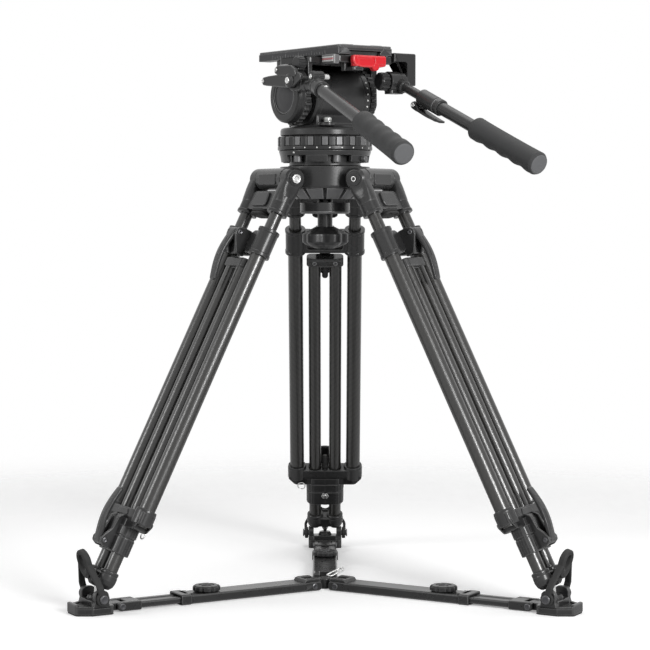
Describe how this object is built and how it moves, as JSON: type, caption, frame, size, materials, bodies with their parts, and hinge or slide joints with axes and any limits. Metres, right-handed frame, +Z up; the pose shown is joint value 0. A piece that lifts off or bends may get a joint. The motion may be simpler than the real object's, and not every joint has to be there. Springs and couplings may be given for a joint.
{
  "type": "video tripod with fluid head",
  "caption": "Low video tripod with twin-tube telescoping legs, ground spreader with strap-on foot plates, and a fluid head with pan handles and a sliding camera plate.",
  "frame": {"origin": "on the tripod's vertical axis, at the underside of the spreader hub on the floor", "axes": "+Z up, +Y towards the rear leg, +X to the right seen from the front"},
  "size_m": [0.6316, 0.7087, 0.6984],
  "materials": {
    "casting": "black anodised satin",
    "plate": "dark grey anodised satin",
    "carbon": "clear coated weave",
    "rubber": "matt",
    "knob": "fine grain",
    "steel": "brushed",
    "red": "satin red"
  },
  "bodies": {
    "crown": {"crown": "casting", "hinge_bolts": "steel"},
    "head_base": {"head_base": "casting", "tie_down_stud": "casting"},
    "tie_down_knob": {"tie_down_knob": "knob"},
    "pan_drag_ring": {"pan_drag_ring": "knob"},
    "pan": {"pan_housing": "casting", "tilt_barrel": "casting"},
    "pan_lock": {"pan_lock": "knob"},
    "tilt_lock": {"tilt_lock": "knob"},
    "counterbalance_dial": {"counterbalance_dial": "knob"},
    "tilt_drag_ring": {"tilt_drag_ring": "knob"},
    "tilt": {"tilt_cradle": "casting"},
    "camera_plate": {"camera_plate": "plate"},
    "plate_lock_lever": {"plate_lock_lever": "red"},
    "left_handle": {"left_handle_bar": "casting", "left_grip": "rubber"},
    "left_clamp_lever": {"left_clamp_lever": "casting"},
    "right_clamp_knob": {"right_clamp_knob": "knob"},
    "right_handle": {"right_handle_arm": "casting"},
    "right_handle_end": {"right_handle_tube": "casting", "right_grip": "rubber"},
    "right_handle_lever": {"right_handle_lever": "casting"},
    "left_upper_leg": {"left_leg_yoke": "casting", "left_upper_tubes": "carbon"},
    "left_middle_leg": {"left_leg_clamps": "casting", "left_outer_tubes": "carbon"},
    "left_lower_leg": {"left_inner_tubes": "carbon", "left_leg_foot": "casting"},
    "left_upper_lever": {"left_upper_lever": "casting"},
    "left_lower_lever": {"left_lower_lever": "casting"},
    "left_foot_plate": {"left_foot_plate": "casting"},
    "left_strap": {"left_strap": "rubber"},
    "left_arm": {"left_arm_channel": "casting"},
    "left_arm_knob": {"left_arm_knob": "knob"},
    "right_upper_leg": {"right_leg_yoke": "casting", "right_upper_tubes": "carbon"},
    "right_middle_leg": {"right_leg_clamps": "casting", "right_outer_tubes": "carbon"},
    "right_lower_leg": {"right_inner_tubes": "carbon", "right_leg_foot": "casting"},
    "right_upper_lever": {"right_upper_lever": "casting"},
    "right_lower_lever": {"right_lower_lever": "casting"},
    "right_foot_plate": {"right_foot_plate": "casting"},
    "right_strap": {"right_strap": "rubber"},
    "right_arm": {"right_arm_channel": "casting"},
    "right_arm_knob": {"right_arm_knob": "knob"},
    "rear_upper_leg": {"rear_leg_yoke": "casting", "rear_upper_tubes": "carbon"},
    "rear_middle_leg": {"rear_leg_clamps": "casting", "rear_outer_tubes": "carbon"},
    "rear_lower_leg": {"rear_inner_tubes": "carbon", "rear_leg_foot": "casting"},
    "rear_upper_lever": {"rear_upper_lever": "casting"},
    "rear_lower_lever": {"rear_lower_lever": "casting"},
    "rear_foot_plate": {"rear_foot_plate": "casting"},
    "rear_strap": {"rear_strap": "rubber"},
    "rear_arm": {"rear_arm_channel": "casting", "spreader_hub": "casting"},
    "rear_arm_knob": {"rear_arm_knob": "knob"}
  },
  "joints": [
    {"name": "left_leg_swing", "type": "hinge", "parent": "crown", "child": "left_upper_leg", "pos_m": [-0.06149, -0.0355, 0.53151], "axis": [-0.5, 0.866, 0], "range_deg": [-3, 9]},
    {"name": "left_upper_slide", "type": "slide", "parent": "left_upper_leg", "child": "left_middle_leg", "axis": [-0.3878, -0.2239, -0.8942], "range_m": [0, 0.28]},
    {"name": "left_lower_slide", "type": "slide", "parent": "left_middle_leg", "child": "left_lower_leg", "axis": [-0.3878, -0.2239, -0.8942], "range_m": [0, 0.28]},
    {"name": "left_upper_lever_turn", "type": "hinge", "parent": "left_middle_leg", "child": "left_upper_lever", "pos_m": [-0.11265, -0.06504, 0.46491], "axis": [-0.5, 0.866, 0], "range_deg": [0, 90]},
    {"name": "left_lower_lever_turn", "type": "hinge", "parent": "left_middle_leg", "child": "left_lower_lever", "pos_m": [-0.27512, -0.15884, 0.09026], "axis": [0.5, -0.866, 0], "range_deg": [0, 90]},
    {"name": "left_foot_plate_tilt", "type": "hinge", "parent": "left_lower_leg", "child": "left_foot_plate", "pos_m": [-0.2831, -0.16345, 0.0205], "axis": [-0.5, 0.866, 0], "range_deg": [-9, 3]},
    {"name": "left_strap_swing", "type": "hinge", "parent": "left_foot_plate", "child": "left_strap", "pos_m": [-0.2831, -0.16345, 0.0205], "axis": [0.5, -0.866, 0], "range_deg": [0, 70]},
    {"name": "left_arm_slide", "type": "slide", "parent": "left_foot_plate", "child": "left_arm", "axis": [0.866, 0.5, 0], "range_m": [-0.0268, 0.0795]},
    {"name": "left_arm_knob_turn", "type": "hinge", "parent": "left_arm", "child": "left_arm_knob", "pos_m": [-0.14982, -0.0865, 0.012], "axis": [0, 0, 1], "continuous": true},
    {"name": "right_leg_swing", "type": "hinge", "parent": "crown", "child": "right_upper_leg", "pos_m": [0.06149, -0.0355, 0.53151], "axis": [-0.5, -0.866, 0], "range_deg": [-3, 9]},
    {"name": "right_upper_slide", "type": "slide", "parent": "right_upper_leg", "child": "right_middle_leg", "axis": [0.3878, -0.2239, -0.8942], "range_m": [0, 0.28]},
    {"name": "right_lower_slide", "type": "slide", "parent": "right_middle_leg", "child": "right_lower_leg", "axis": [0.3878, -0.2239, -0.8942], "range_m": [0, 0.28]},
    {"name": "right_upper_lever_turn", "type": "hinge", "parent": "right_middle_leg", "child": "right_upper_lever", "pos_m": [0.11265, -0.06504, 0.46491], "axis": [-0.5, -0.866, 0], "range_deg": [0, 90]},
    {"name": "right_lower_lever_turn", "type": "hinge", "parent": "right_middle_leg", "child": "right_lower_lever", "pos_m": [0.27512, -0.15884, 0.09026], "axis": [0.5, 0.866, 0], "range_deg": [0, 90]},
    {"name": "right_foot_plate_tilt", "type": "hinge", "parent": "right_lower_leg", "child": "right_foot_plate", "pos_m": [0.2831, -0.16345, 0.0205], "axis": [-0.5, -0.866, 0], "range_deg": [-9, 3]},
    {"name": "right_strap_swing", "type": "hinge", "parent": "right_foot_plate", "child": "right_strap", "pos_m": [0.2831, -0.16345, 0.0205], "axis": [0.5, 0.866, 0], "range_deg": [0, 70]},
    {"name": "right_arm_slide", "type": "slide", "parent": "right_foot_plate", "child": "right_arm", "axis": [-0.866, 0.5, 0], "range_m": [-0.0268, 0.0795]},
    {"name": "right_arm_knob_turn", "type": "hinge", "parent": "right_arm", "child": "right_arm_knob", "pos_m": [0.14982, -0.0865, 0.012], "axis": [0, 0, 1], "continuous": true},
    {"name": "rear_leg_swing", "type": "hinge", "parent": "crown", "child": "rear_upper_leg", "pos_m": [0, 0.071, 0.53151], "axis": [1, 0, 0], "range_deg": [-3, 9]},
    {"name": "rear_upper_slide", "type": "slide", "parent": "rear_upper_leg", "child": "rear_middle_leg", "axis": [0, 0.4478, -0.8942], "range_m": [0, 0.28]},
    {"name": "rear_lower_slide", "type": "slide", "parent": "rear_middle_leg", "child": "rear_lower_leg", "axis": [0, 0.4478, -0.8942], "range_m": [0, 0.28]},
    {"name": "rear_upper_lever_turn", "type": "hinge", "parent": "rear_middle_leg", "child": "rear_upper_lever", "pos_m": [0, 0.13007, 0.46491], "axis": [1, 0, 0], "range_deg": [0, 90]},
    {"name": "rear_lower_lever_turn", "type": "hinge", "parent": "rear_middle_leg", "child": "rear_lower_lever", "pos_m": [0, 0.31768, 0.09026], "axis": [-1, 0, 0], "range_deg": [0, 90]},
    {"name": "rear_foot_plate_tilt", "type": "hinge", "parent": "rear_lower_leg", "child": "rear_foot_plate", "pos_m": [0, 0.32689, 0.0205], "axis": [1, 0, 0], "range_deg": [-9, 3]},
    {"name": "rear_strap_swing", "type": "hinge", "parent": "rear_foot_plate", "child": "rear_strap", "pos_m": [0, 0.32689, 0.0205], "axis": [-1, 0, 0], "range_deg": [0, 70]},
    {"name": "rear_arm_slide", "type": "slide", "parent": "rear_foot_plate", "child": "rear_arm", "axis": [0, -1, 0], "range_m": [-0.0268, 0.0795]},
    {"name": "rear_arm_knob_turn", "type": "hinge", "parent": "rear_arm", "child": "rear_arm_knob", "pos_m": [0, 0.173, 0.012], "axis": [0, 0, 1], "continuous": true},
    {"name": "head_level", "type": "hinge", "parent": "crown", "child": "head_base", "pos_m": [0, 0, 0.54801], "axis": [0.8241, 0.5664, 0], "range_deg": [-5, 5]},
    {"name": "tie_down_turn", "type": "hinge", "parent": "head_base", "child": "tie_down_knob", "pos_m": [0, 0, 0.45801], "axis": [0, 0, 1], "continuous": true},
    {"name": "pan_drag_turn", "type": "hinge", "parent": "head_base", "child": "pan_drag_ring", "pos_m": [0, 0, 0.57901], "axis": [0, 0, 1], "range_deg": [-90, 90]},
    {"name": "pan", "type": "hinge", "parent": "head_base", "child": "pan", "pos_m": [0, 0, 0.58751], "axis": [0, 0, 1], "continuous": true},
    {"name": "pan_lock_turn", "type": "hinge", "parent": "pan", "child": "pan_lock", "pos_m": [-0.02245, 0.05738, 0.59371], "axis": [0.5664, -0.8241, 0], "range_deg": [0, 60]},
    {"name": "tilt_lock_turn", "type": "hinge", "parent": "pan", "child": "tilt_lock", "pos_m": [-0.0105, 0.03646, 0.60701], "axis": [-0.5664, 0.8241, 0], "range_deg": [0, 25]},
    {"name": "counterbalance_turn", "type": "hinge", "parent": "pan", "child": "counterbalance_dial", "pos_m": [-0.04533, -0.03115, 0.63681], "axis": [0.8241, 0.5664, 0], "range_deg": [-120, 120]},
    {"name": "tilt_drag_turn", "type": "hinge", "parent": "pan", "child": "tilt_drag_ring", "pos_m": [0.04121, 0.02832, 0.63681], "axis": [0.8241, 0.5664, 0], "range_deg": [-90, 90]},
    {"name": "tilt", "type": "hinge", "parent": "pan", "child": "tilt", "pos_m": [0, 0, 0.63681], "axis": [0.8241, 0.5664, 0], "range_deg": [-45, 30]},
    {"name": "plate_slide", "type": "slide", "parent": "tilt", "child": "camera_plate", "axis": [-0.5664, 0.8241, 0], "range_m": [-0.035, 0.035]},
    {"name": "plate_lock_turn", "type": "hinge", "parent": "tilt", "child": "plate_lock_lever", "pos_m": [0.03888, -0.08394, 0.68081], "axis": [0, 0, -1], "range_deg": [0, 70]},
    {"name": "left_handle_turn", "type": "hinge", "parent": "tilt", "child": "left_handle", "pos_m": [-0.02808, -0.0739, 0.65381], "axis": [0.8241, 0.5664, 0], "range_deg": [-30, 8]},
    {"name": "left_clamp_turn", "type": "hinge", "parent": "left_handle", "child": "left_clamp_lever", "pos_m": [-0.02808, -0.0739, 0.65381], "axis": [0.8241, 0.5664, 0], "range_deg": [0, 25]},
    {"name": "right_clamp_turn", "type": "hinge", "parent": "tilt", "child": "right_clamp_knob", "pos_m": [0.09806, -0.02968, 0.65481], "axis": [0.8241, 0.5664, 0], "continuous": true},
    {"name": "right_handle_turn", "type": "hinge", "parent": "tilt", "child": "right_handle", "pos_m": [0.09806, -0.02968, 0.65481], "axis": [0.8241, 0.5664, 0], "range_deg": [-30, 5]},
    {"name": "right_handle_slide", "type": "slide", "parent": "right_handle", "child": "right_handle_end", "axis": [0.565, -0.731, -0.3827], "range_m": [0, 0.04]},
    {"name": "right_lever_turn", "type": "hinge", "parent": "right_handle_end", "child": "right_handle_lever", "pos_m": [0.1158, -0.06766, 0.62413], "axis": [0.7912, 0.6115, 0], "range_deg": [0, 60]}
  ],
  "couplings": [
    {"joint": "left_foot_plate_tilt", "follows": "left_leg_swing", "ratio": -1},
    {"joint": "left_arm_slide", "follows": "left_leg_swing", "m_per_rad": 0.503},
    {"joint": "right_leg_swing", "follows": "left_leg_swing", "ratio": 1},
    {"joint": "right_foot_plate_tilt", "follows": "left_leg_swing", "ratio": -1},
    {"joint": "right_arm_slide", "follows": "left_leg_swing", "m_per_rad": 0.503},
    {"joint": "rear_leg_swing", "follows": "left_leg_swing", "ratio": 1},
    {"joint": "rear_foot_plate_tilt", "follows": "left_leg_swing", "ratio": -1},
    {"joint": "rear_arm_slide", "follows": "left_leg_swing", "m_per_rad": 0.503}
  ]
}
